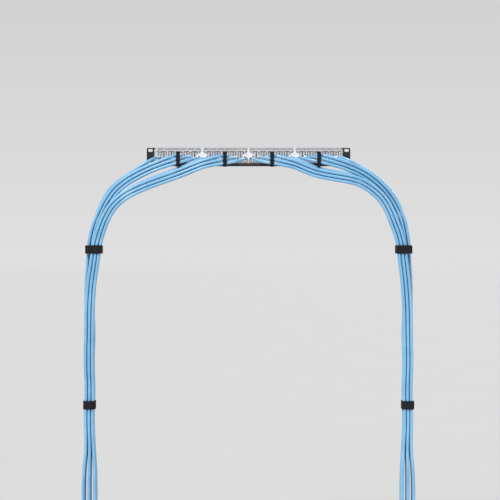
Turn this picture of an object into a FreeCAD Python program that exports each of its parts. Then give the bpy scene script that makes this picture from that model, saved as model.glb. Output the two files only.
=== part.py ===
"""Patch panel, one rack unit, twenty-four shielded ports, with its rear cable bar and cable bundles.

Millimetres, +Z up, +X to the right as seen from behind. The origin is the centre of the rack-slot
pattern on the rear face of the ears: the front of the panel faces +Y, the cables leave towards -Y.
"""
import FreeCAD, Part
import math
import os

Vec = FreeCAD.Vector

# ---------------------------------------------------------------- face plate
PLATE_HEIGHT = 43.7          # one rack unit less its working gap
PLATE_THICK = 2.0
PLATE_CORNER = 3.0
EAR_WIDTH = 23.0             # plate beyond the housing at each end
SLOT_OFFSET = 14.25          # from the housing's side to the middle of the ear slots
SLOT_PITCH_Z = 31.75         # ear slots, one above the other
SLOT_LENGTH = 11.0
SLOT_HEIGHT = 7.0
SHEET = 1.5                  # sheet metal behind the plate
CHEEK_MARGIN = 1.1           # housing beyond the last port group, at each end
FLANGE_DEPTH = 12.0          # stiffening flange along the lower edge
RAIL_DEPTH = 25.5            # top rail, from the plate back to its turned-down lip
LIP_HEIGHT = 9.6
SHELF_DEPTH = 33.0           # sheet under the jacks
SHELF_GAP = 0.3              # below the jacks
FIT = 0.2                    # gap between parts that are slid together

# ---------------------------------------------------------------- ports
GROUPS = 4
PORTS = 6
PORT_PITCH = 18.1
GROUP_PITCH = PORTS * PORT_PITCH
PORT_Z = -5.0                # height of the row of ports
BEZEL_MARGIN = 0.8           # gap between neighbouring bezels
BEZEL_HEIGHT = 23.4
BEZEL_FACE = 1.6             # bezel flange in front of the plate
BEZEL_LAP = 0.7              # how far the flange covers the plate round its window
BEZEL_BAR = 4.1              # bezel left standing between two jack noses, with its fits
NOSE_HEIGHT = 15.6
BODY_GAP = 1.5               # between neighbouring jacks
BODY_TOP = 11.0              # jack body, heights above the plate's centre line
BODY_BOTTOM = -14.25
BODY_DEPTH = 26.0
SOCKET_WIDTH = 11.8
SOCKET_HEIGHT = 6.9
SOCKET_DEPTH = 14.0
SOCKET_RISE = 3.6            # from the jack's centre up to the socket's roof
LATCH_WIDTH = 6.2
LATCH_DROP = 1.7
CATCH_WIDTH = 3.3
CATCH_DROP = 1.5
POCKET_DEPTH = 4.0           # behind the socket, for the contact block
CONTACT_GAP = 0.15
CAP_DEPTH = 10.0
CAP_INSET = 0.4              # the cap is this much smaller than the body all round
CAP_CHAMFER = 3.0
COLLAR_RADIUS = 5.4
COLLAR_LENGTH = 6.0
COLLAR_GAP = 0.3             # round the cable in its collar
COLLAR_BORE_DEPTH = 10.0

# ---------------------------------------------------------------- front labels
HOLDER_WIDTH = 101.0
HOLDER_BOTTOM = 8.0
HOLDER_TOP = 20.8
HOLDER_BASE = 1.2
LUG_WIDTH = 2.5
HINGE_DROP = 2.0             # hinge line below the holder's top edge
HINGE_RADIUS = 1.2
HINGE_GAP = 0.3
PIN_RADIUS = 0.8
PIN_CLEARANCE = 0.05
COVER_THICK = 0.9
COVER_BOTTOM = 8.9
TAB_WIDTH = 10.0
TAB_PROUD = 1.4
TAB_HEIGHT = 1.6
CARD_THICK = 0.25
CARD_MARGIN = 1.5

# ---------------------------------------------------------------- rear labels and posts
REAR_LABEL_WIDTH = 104.0
REAR_LABEL_HEIGHT = 7.6
REAR_LABEL_THICK = 0.3
POST_WEB = 0.9
POST_WEB_LOW = 12.0          # web, below the plate's centre line
POST_HEAD = 3.0
POST_STEM = 1.9              # half width of the head's narrow ends
POST_WING = 14.0             # half width across its two side points
POST_TIP = 1.4               # height of a side point's blunt end
POST_RISE = 21.0             # head, above the plate's centre line
POST_DROP = 18.0             # and below it
POST_MIDDLE = 3.2            # height of the side points
POST_HOLLOW = 0.23           # how far each hollow side stands off the corner that it curves round
POST_GAP = 0.3               # between the head and the jack caps

# ---------------------------------------------------------------- cable bar
BAR_FRONT = 88.0             # from the ears' rear face back to the bar
BAR_THICK = 3.0
BAR_TOP = -19.0
BAR_HEIGHT = 7.0
BAR_TAB = 12.0
ARM_STEP = 8.0               # the bracket's upper edge falls this far back from the rail
ARM_RISE = 10.0              # to this height above the bar
ARM_FOOT = 24.0              # and meets the arm this far back
ARM_HEEL = 14.0              # where the lower edge meets the arm
BRACKET_FLANGE = 5.2
SCREW_RADIUS = 1.5
SCREW_HEAD_RADIUS = 3.0
SCREW_HEAD = 1.5
SCREW_CLEARANCE = 0.1
DRIVE_RADIUS = 1.2

# ---------------------------------------------------------------- cables
CABLE_DIAMETER = 7.5
CABLE_PITCH = 8.0            # centre to centre in a bundle
CABLE_SEAT = 1.5             # how far the cable reaches into the collar
END_SPREAD_X = 13.4          # centre to centre where the plugs hang side by side
END_SPREAD_Y = 10.6

TIE_WIDTH = 8.5
TIE_THICK = 1.5
TIE_GAP = 0.3
TIE_REACH = 10.6             # from the bar forward to the inside of the tie
TIE_ROUND = 3.0
TIE_SLACK = 7.8              # above the cables that it holds
STRAP_HEIGHT = 19.0
STRAP_THICK = 1.8
STRAP_GAP = 0.7
STRAP_ROUND = 3.5

PLUG_WIDTH = 11.6
PLUG_DEPTH = 8.0
PLUG_LENGTH = 21.5
BOOT_WIDTH = 10.6
BOOT_DEPTH = 8.6
BOOT_LENGTH = 16.0
BOOT_ROUND = 1.5
PLUG_CHAMFER = 0.8

# Middle line of each bundle, seen from behind: x and z, then the depth of its outer layer.
# The first point lies at the tie and the last at the plugs.
ROUTES = {
    1: [(-203, -21.6, -104), (-243, -37.7, -104), (-281, -57.2, -104), (-309, -79.6, -104),
        (-327, -105, -104), (-341, -135, -104), (-353, -167, -104), (-361, -203, -104),
        (-363, -240, -104), (-367, -290, -104), (-368, -350, -104), (-365, -415, -104),
        (-368, -480, -104), (-365, -545, -104), (-368, -610, -104), (-365, -675, -104),
        (-366.5, -735, -102), (-366.5, -800, -102)],
    2: [(-100, -19, -104), (-126, -28.5, -104), (-152, -38.2, -104), (-185, -50.5, -106),
        (-217.4, -62, -110), (-251, -76, -115), (-288, -96, -119), (-314, -119.6, -120),
        (-330.5, -148.8, -120), (-341, -177, -120), (-350, -208, -120), (-354, -245, -120),
        (-362, -295, -120), (-366, -352, -120), (-366.5, -415, -120), (-368, -480, -120),
        (-365, -545, -120), (-368, -610, -120), (-365, -675, -120), (-366.5, -735, -122.6),
        (-366.5, -800, -122.6)],
    3: [(100, -19, -104), (126, -29, -104), (152, -38.6, -104), (178, -45, -105.5),
        (206, -50, -109), (234, -55.5, -113), (263, -65.5, -117), (289.6, -83, -119),
        (309, -102, -120), (324, -127, -120), (336, -157.6, -120), (346, -184, -120),
        (353, -212, -120), (356, -246, -120), (362, -295, -120), (366, -352, -120),
        (366.5, -415, -120), (368, -480, -120), (365, -545, -120), (368, -610, -120),
        (365, -675, -120), (366.5, -735, -122.6), (366.5, -800, -122.6)],
    4: [(207, -18.5, -104), (243, -31, -104), (272, -44.5, -104), (300, -65.5, -104),
        (323.7, -91.3, -104), (341, -119.6, -104), (353, -150.8, -104), (359, -178, -104),
        (363, -206, -104), (364, -242, -104), (367, -290, -104), (368, -350, -104),
        (365, -415, -104), (368, -480, -104), (365, -545, -104), (368, -610, -104),
        (365, -675, -104), (366.5, -735, -102), (366.5, -800, -102)],
}
# Where each cable turns outward behind its port, depth and height, from the inboard port of its
# group: the first three pass the tie, the others join between those and the bar.
TURNS = {
    1: [(-101, -6), (-99.8, -1), (-98, 4), (-95.6, -8), (-95.2, -5), (-95.2, 0)],
    2: [(-101, -12), (-99.8, -5), (-98, 2), (-96, -9.5), (-95.2, -5), (-95.2, -5)],
}
TURNS[3] = TURNS[2]
TURNS[4] = TURNS[1]
SPREAD_POINTS = 2            # points at the end of a route where the cables part for their plugs
STRAP_ROW = 11               # a point of each route on its way down, past both bundles' meeting
JOINS = (1, 1, 2)            # point of the route where each outboard cable joins its bundle
ARC_SHARE = 0.45             # of the shorter run, that each arc takes up
STRAP_Z = {"upper": -219.0, "lower": -577.0}

# ---------------------------------------------------------------- worked out from the above
HALF_PLATE = PLATE_HEIGHT / 2
HALF_HOUSING = GROUPS * GROUP_PITCH / 2 + CHEEK_MARGIN
HALF_WIDTH = HALF_HOUSING + EAR_WIDTH
NOSE_WIDTH = PORT_PITCH - BEZEL_BAR
BODY_WIDTH = PORT_PITCH - BODY_GAP
FACE_Y = PLATE_THICK + BEZEL_FACE
CAP_REAR = BODY_DEPTH + CAP_DEPTH
COLLAR_END = CAP_REAR + COLLAR_LENGTH
CABLE_START = COLLAR_END - CABLE_SEAT
BAR_BACK = BAR_FRONT + BAR_THICK
LABEL_Y = PLATE_THICK + HOLDER_BASE
HINGE_Y = LABEL_Y + HINGE_RADIUS + HINGE_GAP
HINGE_Z = HOLDER_TOP - HINGE_DROP
OVERSHOOT = 1.0              # how far a cutter runs past the face it opens
NEAR = 0.01                  # two places closer than this are the same
ALONG = 0.9                  # an edge whose direction has this share of an axis runs along it


def save(name, shape):
    shape.exportStep("parts/%s.step" % name)


def block(x, y, z):
    """A box from its low and high bounds along each axis."""
    low = Vec(min(x), min(y), min(z))
    return Part.makeBox(max(x) - low.x, max(y) - low.y, max(z) - low.z, low)


def rod(radius, length, start, direction):
    return Part.makeCylinder(radius, length, Vec(*start), Vec(*direction))


def edges_at(shape, axis, place):
    """Edges whose middle lies at this place along one axis, 0 to 2."""
    return [e for e in shape.Edges if abs(e.CenterOfMass[axis] - place) < NEAR]


def edges_along(shape, axis):
    return [e for e in shape.Edges if abs(e.tangentAt(e.FirstParameter)[axis]) > ALONG]


def group_x(group):
    return (group - (GROUPS + 1) / 2) * GROUP_PITCH


def port_x(group, port):
    return group_x(group) + (port - (PORTS - 1) / 2) * PORT_PITCH


def each_port(group, make):
    return Part.makeCompound([make(port_x(group, port)) for port in range(PORTS)])


# ---------------------------------------------------------------- plate and sheet metal
def bezel_body():
    """Width and height of the bezel where it passes the plate."""
    return GROUP_PITCH - BEZEL_MARGIN - 2 * BEZEL_LAP, BEZEL_HEIGHT - 2 * BEZEL_LAP


def ear_slot(x, z):
    half = (SLOT_LENGTH - SLOT_HEIGHT) / 2
    radius = SLOT_HEIGHT / 2
    through = (-OVERSHOOT, PLATE_THICK + OVERSHOOT)
    cut = block((x - half, x + half), through, (z - radius, z + radius))
    for end in (-half, half):
        cut = cut.fuse(rod(radius, through[1] - through[0], (x + end, through[0], z), (0, 1, 0)))
    return cut


def front_plate():
    plate = block((-HALF_WIDTH, HALF_WIDTH), (0, PLATE_THICK), (-HALF_PLATE, HALF_PLATE))
    plate = plate.makeFillet(PLATE_CORNER, edges_along(plate, 1))
    flange_half = HALF_HOUSING - SHEET - FIT
    plate = plate.fuse(block((-flange_half, flange_half), (-FLANGE_DEPTH, 0),
                             (-HALF_PLATE, -HALF_PLATE + SHEET)))
    width, height = bezel_body()
    for group in range(1, GROUPS + 1):
        middle = group_x(group)
        plate = plate.cut(block((middle - width / 2 - FIT, middle + width / 2 + FIT),
                                (-OVERSHOOT, PLATE_THICK + OVERSHOOT),
                                (PORT_Z - height / 2 - FIT, PORT_Z + height / 2 + FIT)))
    for side in (-1, 1):
        for z in (-SLOT_PITCH_Z / 2, SLOT_PITCH_Z / 2):
            plate = plate.cut(ear_slot(side * (HALF_HOUSING + SLOT_OFFSET), z))
    return plate.removeSplitter()


def rear_rail():
    """Sheet along the top edge, turned down at the back to carry the rear labels."""
    half = HALF_HOUSING - SHEET - FIT
    web = block((-half, half), (-RAIL_DEPTH, 0), (HALF_PLATE - SHEET, HALF_PLATE))
    lip = block((-half, half), (-RAIL_DEPTH, -RAIL_DEPTH + SHEET),
                (HALF_PLATE - LIP_HEIGHT, HALF_PLATE))
    return web.fuse(lip).removeSplitter()


def lower_shelf():
    """Sheet that the jacks stand over, from the plate back to just short of the post heads."""
    half = HALF_HOUSING - SHEET - FIT
    top = BODY_BOTTOM - SHELF_GAP
    return block((-half, half), (-SHELF_DEPTH, 0), (top - SHEET, top))


def side_bracket(side):
    """End cheek of the housing, with the arm that reaches back to the cable bar."""
    inner = side * (HALF_HOUSING - SHEET)
    bar_low = BAR_TOP - BAR_HEIGHT
    outline = [(0, -HALF_PLATE), (0, HALF_PLATE), (-RAIL_DEPTH, HALF_PLATE),
               (-RAIL_DEPTH - ARM_STEP, BAR_TOP + ARM_RISE), (-RAIL_DEPTH - ARM_FOOT, BAR_TOP),
               (-BAR_BACK, BAR_TOP), (-BAR_BACK, bar_low),
               (-RAIL_DEPTH - ARM_HEEL, bar_low), (-RAIL_DEPTH, -HALF_PLATE)]
    points = [Vec(inner, y, z) for y, z in outline + outline[:1]]
    cheek = Part.Face(Part.makePolygon(points)).extrude(Vec(side * SHEET, 0, 0))
    flange = block((inner, inner + side * (SHEET + BRACKET_FLANGE)), (-SHEET, 0),
                   (-HALF_PLATE + PLATE_CORNER, HALF_PLATE - PLATE_CORNER))
    bracket = cheek.fuse(flange).removeSplitter()
    return bracket.cut(screw_hole(side))


def screw_centre():
    return -BAR_FRONT + BAR_TAB / 2, BAR_TOP - BAR_HEIGHT / 2


def screw_hole(side):
    """Clearance hole through the cheek and the bar's tab."""
    y, z = screw_centre()
    start = side * (HALF_HOUSING + OVERSHOOT)
    return rod(SCREW_RADIUS + SCREW_CLEARANCE, 2 * (SHEET + OVERSHOOT), (start, y, z), (-side, 0, 0))


def cable_bar():
    half = HALF_HOUSING - SHEET
    z = (BAR_TOP - BAR_HEIGHT, BAR_TOP)
    bar = block((-half, half), (-BAR_BACK, -BAR_FRONT), z)
    for side in (-1, 1):
        tab = block((side * half, side * (half - SHEET)), (-BAR_FRONT, -BAR_FRONT + BAR_TAB), z)
        bar = bar.fuse(tab).cut(screw_hole(side))
    return bar.removeSplitter()


def bar_screws():
    screws = []
    y, z = screw_centre()
    for side in (-1, 1):
        outer = side * HALF_HOUSING
        top = side * (HALF_HOUSING + SCREW_HEAD)
        head = rod(SCREW_HEAD_RADIUS, SCREW_HEAD, (outer, y, z), (side, 0, 0))
        head = head.makeFillet(SCREW_HEAD / 2, edges_at(head, 0, top))
        shank = rod(SCREW_RADIUS, 2 * SHEET, (outer, y, z), (-side, 0, 0))
        drive = rod(DRIVE_RADIUS, SCREW_HEAD / 2, (top, y, z), (-side, 0, 0))
        screws.append(head.fuse(shank).cut(drive).removeSplitter())
    return Part.makeCompound(screws)


# ---------------------------------------------------------------- ports
def port_bezel(group):
    middle = group_x(group)
    width, height = bezel_body()
    half = (GROUP_PITCH - BEZEL_MARGIN) / 2
    flange = block((middle - half, middle + half), (PLATE_THICK, FACE_Y),
                   (PORT_Z - BEZEL_HEIGHT / 2, PORT_Z + BEZEL_HEIGHT / 2))
    body = block((middle - width / 2, middle + width / 2), (0, PLATE_THICK),
                 (PORT_Z - height / 2, PORT_Z + height / 2))
    bezel = flange.fuse(body)
    half_x = NOSE_WIDTH / 2 + FIT
    half_z = NOSE_HEIGHT / 2 + FIT
    for port in range(PORTS):
        x = port_x(group, port)
        bezel = bezel.cut(block((x - half_x, x + half_x), (-OVERSHOOT, FACE_Y + OVERSHOOT),
                                (PORT_Z - half_z, PORT_Z + half_z)))
    return bezel.removeSplitter()


def jack_housing(x):
    """Die-cast jack: a nose that fills its bezel window, and the body behind the plate."""
    nose = block((x - NOSE_WIDTH / 2, x + NOSE_WIDTH / 2), (0, FACE_Y),
                 (PORT_Z - NOSE_HEIGHT / 2, PORT_Z + NOSE_HEIGHT / 2))
    body = block((x - BODY_WIDTH / 2, x + BODY_WIDTH / 2), (-BODY_DEPTH, 0),
                 (BODY_BOTTOM, BODY_TOP))
    roof = PORT_Z + SOCKET_RISE
    floor = roof - SOCKET_HEIGHT
    back = FACE_Y - SOCKET_DEPTH
    mouth = FACE_Y + OVERSHOOT
    socket = block((x - SOCKET_WIDTH / 2, x + SOCKET_WIDTH / 2), (back - POCKET_DEPTH, mouth),
                   (floor, roof))
    latch = block((x - LATCH_WIDTH / 2, x + LATCH_WIDTH / 2), (back, mouth),
                  (floor - LATCH_DROP, floor))
    catch = block((x - CATCH_WIDTH / 2, x + CATCH_WIDTH / 2), (back, mouth),
                  (floor - LATCH_DROP - CATCH_DROP, floor - LATCH_DROP))
    return nose.fuse(body).cut(socket).cut(latch).cut(catch).removeSplitter()


def contact_block(x):
    """Plastic block that carries the eight spring contacts, at the bottom of the socket."""
    roof = PORT_Z + SOCKET_RISE - CONTACT_GAP
    back = FACE_Y - SOCKET_DEPTH
    half = SOCKET_WIDTH / 2 - CONTACT_GAP
    return block((x - half, x + half), (back - POCKET_DEPTH, back),
                 (roof - SOCKET_HEIGHT + 2 * CONTACT_GAP, roof))


def jack_cap(x):
    """Shield cap over the jack's rear, with the collar that the cable leaves through."""
    half_x = BODY_WIDTH / 2 - CAP_INSET
    cap = block((x - half_x, x + half_x), (-CAP_REAR, -BODY_DEPTH),
                (BODY_BOTTOM + CAP_INSET, BODY_TOP - CAP_INSET))
    cap = cap.makeChamfer(CAP_CHAMFER, edges_at(cap, 1, -CAP_REAR))
    collar = rod(COLLAR_RADIUS, COLLAR_LENGTH + CAP_CHAMFER,
                 (x, -CAP_REAR + CAP_CHAMFER, PORT_Z), (0, -1, 0))
    bore = rod(CABLE_DIAMETER / 2 + COLLAR_GAP, COLLAR_BORE_DEPTH + OVERSHOOT,
               (x, -COLLAR_END - OVERSHOOT, PORT_Z), (0, 1, 0))
    return cap.fuse(collar).cut(bore).removeSplitter()


def post_outline(x, y):
    """Four-pointed outline of a post's head: hollow sides between its ends and its side points."""
    edges = []
    corners = []
    for side, end in ((1, POST_RISE), (1, -POST_DROP), (-1, -POST_DROP), (-1, POST_RISE)):
        tip = POST_MIDDLE + math.copysign(POST_TIP / 2, end)
        wing = Vec(x + side * POST_WING, y, tip)
        stem = Vec(x + side * POST_STEM, y, end)
        inner = Vec(stem.x, y, wing.z)
        hollow = inner + (wing + stem - inner * 2) * POST_HOLLOW
        edges.append(Part.Arc(stem, hollow, wing).toShape())
        corners += [stem, wing] if side * end > 0 else [wing, stem]
    for k in range(1, len(corners), 2):
        edges.append(Part.LineSegment(corners[k], corners[(k + 1) % len(corners)]).toShape())
    return Part.Wire(Part.__sortEdges__(edges))


def module_post(x):
    """White divider between two port groups: a thin web between the jacks and a four-pointed head."""
    y = -CAP_REAR - POST_GAP
    web = block((x - POST_WEB / 2, x + POST_WEB / 2), (y, 0),
                (-POST_WEB_LOW, HALF_PLATE - LIP_HEIGHT - FIT))
    head = Part.Face(post_outline(x, y)).extrude(Vec(0, -POST_HEAD, 0))
    for side in (-1, 1):
        collar = rod(COLLAR_RADIUS + POST_GAP, POST_HEAD + 2 * OVERSHOOT,
                     (x + side * PORT_PITCH / 2, y + OVERSHOOT, PORT_Z), (0, -1, 0))
        head = head.cut(collar)
    return web.fuse(head).removeSplitter()


# ---------------------------------------------------------------- labels
def label_holder(group):
    """Tray for the front label, with a lug at each end that takes the cover's hinge pin."""
    middle = group_x(group)
    half = HOLDER_WIDTH / 2
    holder = block((middle - half, middle + half), (PLATE_THICK, LABEL_Y), (HOLDER_BOTTOM, HOLDER_TOP))
    reach = HINGE_RADIUS + HINGE_GAP
    for side in (-1, 1):
        outer = middle + side * half
        inner = outer - side * LUG_WIDTH
        lug = block((inner, outer), (LABEL_Y, HINGE_Y), (HINGE_Z - reach, HOLDER_TOP))
        nose = rod(reach, LUG_WIDTH, (min(inner, outer), HINGE_Y, HINGE_Z), (1, 0, 0))
        bore = rod(PIN_RADIUS + PIN_CLEARANCE, LUG_WIDTH + 2 * OVERSHOOT,
                   (min(inner, outer) - OVERSHOOT, HINGE_Y, HINGE_Z), (1, 0, 0))
        holder = holder.fuse(lug.fuse(nose)).cut(bore)
    return holder.removeSplitter()


def cover_half_width():
    return HOLDER_WIDTH / 2 - LUG_WIDTH - HINGE_GAP


def label_cover(group):
    """Clear cover, hung from its hinge pins in front of the card."""
    middle = group_x(group)
    half = cover_half_width()
    pin_half = HOLDER_WIDTH / 2 - PIN_CLEARANCE
    barrel = rod(HINGE_RADIUS, 2 * half, (middle - half, HINGE_Y, HINGE_Z), (1, 0, 0))
    pins = rod(PIN_RADIUS, 2 * pin_half, (middle - pin_half, HINGE_Y, HINGE_Z), (1, 0, 0))
    back = LABEL_Y + CARD_THICK + HINGE_GAP
    pane = block((middle - half, middle + half), (back, back + COVER_THICK), (COVER_BOTTOM, HINGE_Z))
    tab = block((middle - TAB_WIDTH / 2, middle + TAB_WIDTH / 2),
                (back, back + COVER_THICK + TAB_PROUD), (COVER_BOTTOM, COVER_BOTTOM + TAB_HEIGHT))
    return barrel.fuse(pins).fuse(pane).fuse(tab).removeSplitter()


def label_card(group):
    middle = group_x(group)
    half = cover_half_width() - CARD_MARGIN
    return block((middle - half, middle + half), (LABEL_Y, LABEL_Y + CARD_THICK),
                 (COVER_BOTTOM + CARD_MARGIN / 2, HINGE_Z - HINGE_RADIUS - CARD_MARGIN / 2))


def rear_label(group):
    middle = group_x(group)
    half = REAR_LABEL_WIDTH / 2
    low = HALF_PLATE - LIP_HEIGHT + (LIP_HEIGHT - REAR_LABEL_HEIGHT) / 2
    return block((middle - half, middle + half), (-RAIL_DEPTH - REAR_LABEL_THICK, -RAIL_DEPTH),
                 (low, low + REAR_LABEL_HEIGHT))


# ---------------------------------------------------------------- cables
def outward(bundle):
    """-1 for a bundle that leaves to the left, +1 to the right."""
    return -1 if bundle <= GROUPS / 2 else 1


def lane_points(bundle, lane, layer):
    """Points of one cable along its bundle: lane counts outward or upward, layer towards the panel."""
    side = outward(bundle)
    middle = ROUTES[bundle]
    points = []
    for k, (x, z, y) in enumerate(middle):
        before = middle[max(k - 1, 0)]
        after = middle[min(k + 1, len(middle) - 1)]
        along = Vec(after[0] - before[0], 0, after[1] - before[1]).normalize()
        if k < len(middle) - SPREAD_POINTS:
            across = Vec(-along.z, 0, along.x) * side * CABLE_PITCH
            deep = CABLE_PITCH
        else:
            across = Vec(side, 0, 0) * END_SPREAD_X
            deep = END_SPREAD_Y
        points.append(Vec(x, y + deep * layer, z) + across * lane)
    return points


def cable_points(bundle, rank):
    """Route of one cable; rank counts the ports of its group from the inboard end."""
    side = outward(bundle)
    port = rank if side > 0 else PORTS - 1 - rank
    x = port_x(bundle, port)
    half = PORTS // 2
    lane = rank % half - 1
    inboard = rank < half
    rest = lane_points(bundle, lane, 0 if inboard else 1)
    if not inboard:
        rest = rest[JOINS[rank - half]:]
    return [Vec(x, -CABLE_START, PORT_Z), Vec(x, *TURNS[bundle][rank])] + rest


def corner_arc(before, corner, after):
    """Tangent arc at a corner of the route, as large as its two runs allow."""
    back = before - corner
    ahead = after - corner
    half_turn = (math.pi - back.getAngle(ahead)) / 2
    reach = ARC_SHARE * min(back.Length, ahead.Length)
    radius = reach / math.tan(half_turn)
    back = back.normalize()
    ahead = ahead.normalize()
    start = corner + back * reach
    end = corner + ahead * reach
    centre = corner + (back + ahead).normalize() * (radius / math.cos(half_turn))
    middle = centre + (corner - centre).normalize() * radius
    return Part.Arc(start, middle, end).toShape(), start, end, radius


def cable_tube(points):
    """Round tube along straight runs joined by tangent arcs; also its length and tightest radius."""
    edges = []
    radii = []
    here = points[0]
    for k in range(1, len(points) - 1):
        arc, start, end, radius = corner_arc(*points[k - 1:k + 2])
        edges += [Part.LineSegment(here, start).toShape(), arc]
        radii.append(radius)
        here = end
    edges.append(Part.LineSegment(here, points[-1]).toShape())
    path = Part.Wire(edges)
    ring = Part.Wire(Part.makeCircle(CABLE_DIAMETER / 2, points[0], points[1] - points[0]))
    tube = path.makePipeShell([ring], True, True)
    return tube, path.Length, min(radii)


def cable_bundle(bundle):
    """Six cables; prints each one's length, its tightest radius and its volume against its length."""
    tubes = []
    section = math.pi * CABLE_DIAMETER ** 2 / 4
    for rank in range(PORTS):
        tube, length, radius = cable_tube(cable_points(bundle, rank))
        print("bundle %d cable %d: length %.0f, tightest radius %.1f, volume ratio %.4f"
              % (bundle, rank, length, radius, tube.Volume / (section * length)))
        tubes.append(tube)
    return Part.makeCompound(tubes)


def band(x, y, z, axis, thick, round_radius):
    """Closed strap round a space with these bounds; axis is the direction it runs round."""
    inner = block(x, y, z)
    grow = [0 if k == axis else thick for k in range(3)]
    outer = block(*[(min(b) - g, max(b) + g) for b, g in zip((x, y, z), grow)])
    shapes = []
    for shape, radius in ((outer, round_radius + thick), (inner, round_radius)):
        shapes.append(shape.makeFillet(radius, edges_along(shape, axis)))
    return shapes[0].cut(shapes[1])


def tie(bundle):
    """Hook-and-loop tie: holds the three inboard cables of its group to the bar."""
    middle = group_x(bundle)
    reach = CABLE_DIAMETER / 2 + TIE_GAP
    first_y = ROUTES[bundle][0][2]
    front = (TURNS[bundle][0][0] + first_y) / 2 - reach - TIE_GAP
    top = PORT_Z + CABLE_DIAMETER / 2 + TIE_SLACK
    bottom = BAR_TOP - BAR_HEIGHT - TIE_GAP
    return band((middle - TIE_WIDTH / 2, middle + TIE_WIDTH / 2), (front, -BAR_FRONT + TIE_REACH),
                (bottom, top), 0, TIE_THICK, TIE_ROUND)


def route_x(bundle, z):
    """Where the bundle's middle line is at a height on its way down."""
    middle = ROUTES[bundle]
    for (x0, z0, _), (x1, z1, _) in zip(middle, middle[1:]):
        if z1 <= z <= z0:
            return x0 + (x1 - x0) * (z - z0) / (z1 - z0)


def bundle_strap(bundles, z):
    """Wide strap round the two bundles of one side."""
    heights = (z - STRAP_HEIGHT / 2, z + STRAP_HEIGHT / 2)
    reach = CABLE_PITCH + CABLE_DIAMETER / 2 + STRAP_GAP
    across = [route_x(bundle, height) for bundle in bundles for height in heights]
    layers = [ROUTES[bundle][STRAP_ROW][2] for bundle in bundles]
    edge = CABLE_DIAMETER / 2 + STRAP_GAP
    return band((min(across) - reach, max(across) + reach),
                (min(layers) - edge, max(layers) + CABLE_PITCH + edge), heights,
                2, STRAP_THICK, STRAP_ROUND)


def cable_ends(bundles):
    return [cable_points(bundle, rank)[-1] for bundle in bundles for rank in range(PORTS)]


def boot(end):
    half_x = BOOT_WIDTH / 2
    half_y = BOOT_DEPTH / 2
    shape = block((end.x - half_x, end.x + half_x), (end.y - half_y, end.y + half_y),
                  (end.z - BOOT_LENGTH, end.z))
    return shape.makeFillet(BOOT_ROUND, edges_at(shape, 2, end.z))


def plug(end):
    """Modular plug hanging below its boot."""
    top = end.z - BOOT_LENGTH
    half_x = PLUG_WIDTH / 2
    half_y = PLUG_DEPTH / 2
    shape = block((end.x - half_x, end.x + half_x), (end.y - half_y, end.y + half_y),
                  (top - PLUG_LENGTH, top))
    return shape.makeChamfer(PLUG_CHAMFER, edges_at(shape, 2, top - PLUG_LENGTH))


def main():
    os.makedirs("parts", exist_ok=True)
    save("front_plate", front_plate())
    save("rear_rail", rear_rail())
    save("lower_shelf", lower_shelf())
    save("side_bracket_left", side_bracket(-1))
    save("side_bracket_right", side_bracket(1))
    save("cable_bar", cable_bar())
    save("bar_screws", bar_screws())
    blocks = [each_port(group, contact_block) for group in range(1, GROUPS + 1)]
    save("contact_blocks", Part.makeCompound([s for b in blocks for s in b.Solids]))
    for group in range(1, GROUPS + 1):
        save("port_bezel_%d" % group, port_bezel(group))
        save("jack_housings_%d" % group, each_port(group, jack_housing))
        save("jack_caps_%d" % group, each_port(group, jack_cap))
        save("label_holder_%d" % group, label_holder(group))
        save("label_card_%d" % group, label_card(group))
        save("label_cover_%d" % group, label_cover(group))
        save("rear_label_%d" % group, rear_label(group))
        save("tie_%d" % group, tie(group))
        save("cable_bundle_%d" % group, cable_bundle(group))
    for number in range(1, GROUPS):
        save("module_post_%d" % number, module_post(group_x(number) + GROUP_PITCH / 2))
    for name, bundles in (("left", (1, 2)), ("right", (4, 3))):
        for place, z in STRAP_Z.items():
            save("strap_%s_%s" % (place, name), bundle_strap(bundles, z))
        ends = cable_ends(bundles)
        save("boots_" + name, Part.makeCompound([boot(end) for end in ends]))
        save("plugs_" + name, Part.makeCompound([plug(end) for end in ends]))


main()
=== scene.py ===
import math
import bmesh
import bpy
from mathutils import Matrix, Vector


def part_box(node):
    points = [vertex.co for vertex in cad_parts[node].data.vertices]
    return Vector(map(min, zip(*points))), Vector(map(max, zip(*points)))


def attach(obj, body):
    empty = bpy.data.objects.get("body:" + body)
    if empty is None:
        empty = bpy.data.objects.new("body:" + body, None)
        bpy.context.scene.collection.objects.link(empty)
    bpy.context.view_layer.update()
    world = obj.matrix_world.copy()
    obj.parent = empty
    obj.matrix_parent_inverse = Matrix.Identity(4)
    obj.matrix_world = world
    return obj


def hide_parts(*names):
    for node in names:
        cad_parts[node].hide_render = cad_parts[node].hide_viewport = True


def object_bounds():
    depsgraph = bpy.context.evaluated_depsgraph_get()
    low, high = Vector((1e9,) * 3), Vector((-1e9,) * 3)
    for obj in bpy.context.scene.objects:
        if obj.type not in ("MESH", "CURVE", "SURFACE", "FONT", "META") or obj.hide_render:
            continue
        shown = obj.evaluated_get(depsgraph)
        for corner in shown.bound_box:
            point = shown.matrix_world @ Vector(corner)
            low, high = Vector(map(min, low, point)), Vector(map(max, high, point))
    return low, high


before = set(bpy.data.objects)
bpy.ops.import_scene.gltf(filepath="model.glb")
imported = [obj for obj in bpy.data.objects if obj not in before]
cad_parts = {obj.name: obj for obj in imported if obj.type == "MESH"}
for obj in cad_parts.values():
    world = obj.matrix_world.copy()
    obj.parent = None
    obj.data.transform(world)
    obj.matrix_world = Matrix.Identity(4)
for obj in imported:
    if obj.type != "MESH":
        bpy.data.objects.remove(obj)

CAD_BOX = [list(corner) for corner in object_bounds()]
MM = 0.001
PANEL = "panel"
GROUPS = 4
PORTS = 6

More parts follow.
